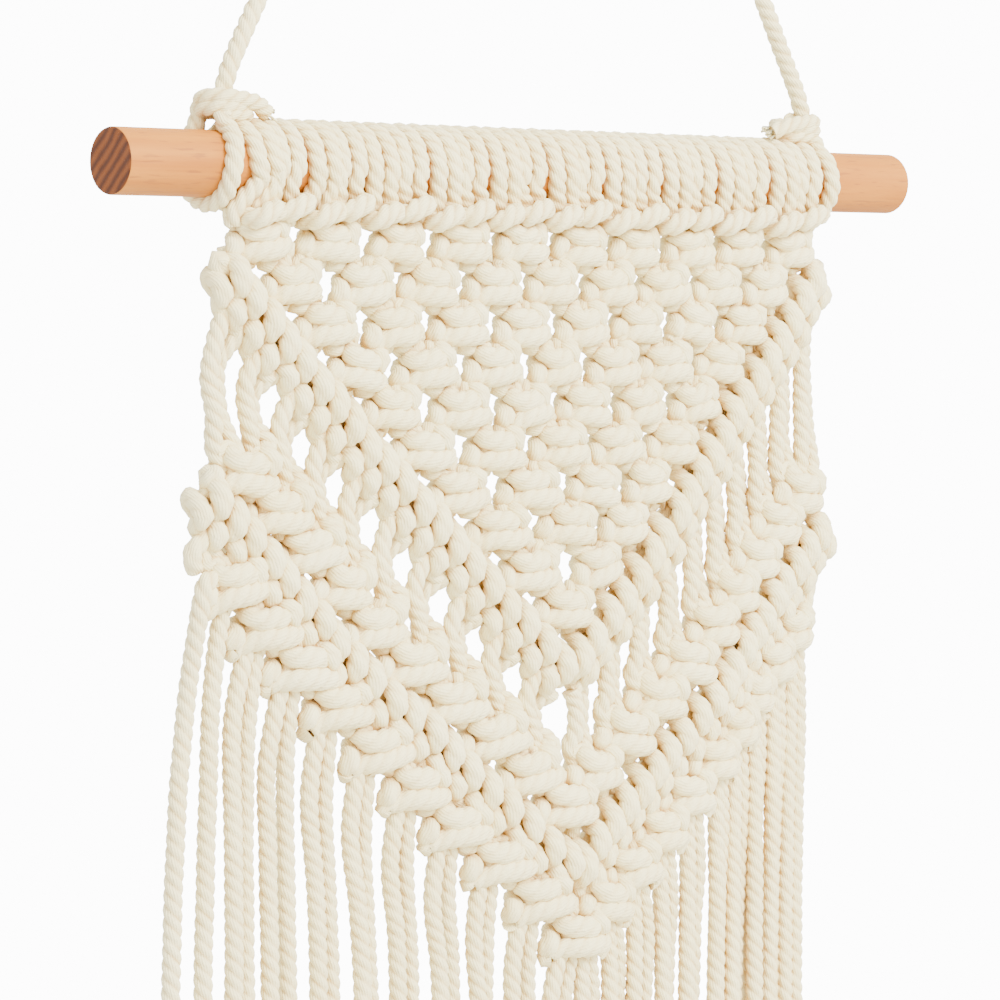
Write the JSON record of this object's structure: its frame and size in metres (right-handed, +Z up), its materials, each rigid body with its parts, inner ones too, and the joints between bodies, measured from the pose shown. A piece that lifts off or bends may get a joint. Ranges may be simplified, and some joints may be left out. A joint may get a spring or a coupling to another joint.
{
  "type": "macrame wall hanging on a wooden dowel",
  "caption": "Macrame wall hanging of knotted cotton cord on a wooden dowel, with a triangle of square knots, a V-shaped knotted band, a long fringe and a hanging cord.",
  "frame": {"origin": "the point where the hanging cord's bend rests on its nail, at the underside of the cord", "axes": "+Z up, along the hanging direction; +X along the dowel, towards the right as seen from the front; -Y towards the viewer, +Y towards the wall"},
  "size_m": [0.3, 0.0299, 0.6265],
  "materials": {
    "cotton_cord": "matte twisted natural cotton",
    "beech": "smooth unvarnished beech"
  },
  "bodies": {
    "root": {"dowel": "beech", "fringe": "cotton_cord", "hanger_tie_left": "cotton_cord", "hanger_tie_right": "cotton_cord", "hanging_cord": "cotton_cord", "knotted_band": "cotton_cord", "knotted_triangle": "cotton_cord", "lark_knot_01": "cotton_cord", "lark_knot_02": "cotton_cord", "lark_knot_03": "cotton_cord", "lark_knot_04": "cotton_cord", "lark_knot_05": "cotton_cord", "lark_knot_06": "cotton_cord", "lark_knot_07": "cotton_cord", "lark_knot_08": "cotton_cord", "lark_knot_09": "cotton_cord", "lark_knot_10": "cotton_cord", "lark_knot_11": "cotton_cord", "lark_knot_12": "cotton_cord", "lark_knot_13": "cotton_cord", "lark_knot_14": "cotton_cord", "lark_knot_15": "cotton_cord", "lark_knot_16": "cotton_cord", "lark_knot_17": "cotton_cord", "lark_knot_18": "cotton_cord", "lark_knot_19": "cotton_cord", "lark_knot_20": "cotton_cord", "strand_pair_01": "cotton_cord", "strand_pair_02": "cotton_cord", "strand_pair_03": "cotton_cord", "strand_pair_04": "cotton_cord", "strand_pair_05": "cotton_cord", "strand_pair_06": "cotton_cord", "strand_pair_07": "cotton_cord", "strand_pair_08": "cotton_cord", "strand_pair_09": "cotton_cord", "strand_pair_10": "cotton_cord", "strand_pair_11": "cotton_cord", "strand_pair_12": "cotton_cord", "strand_pair_13": "cotton_cord", "strand_pair_14": "cotton_cord", "strand_pair_15": "cotton_cord", "strand_pair_16": "cotton_cord", "strand_pair_17": "cotton_cord", "strand_pair_18": "cotton_cord", "strand_pair_19": "cotton_cord", "strand_pair_20": "cotton_cord"}
  },
  "joints": []
}
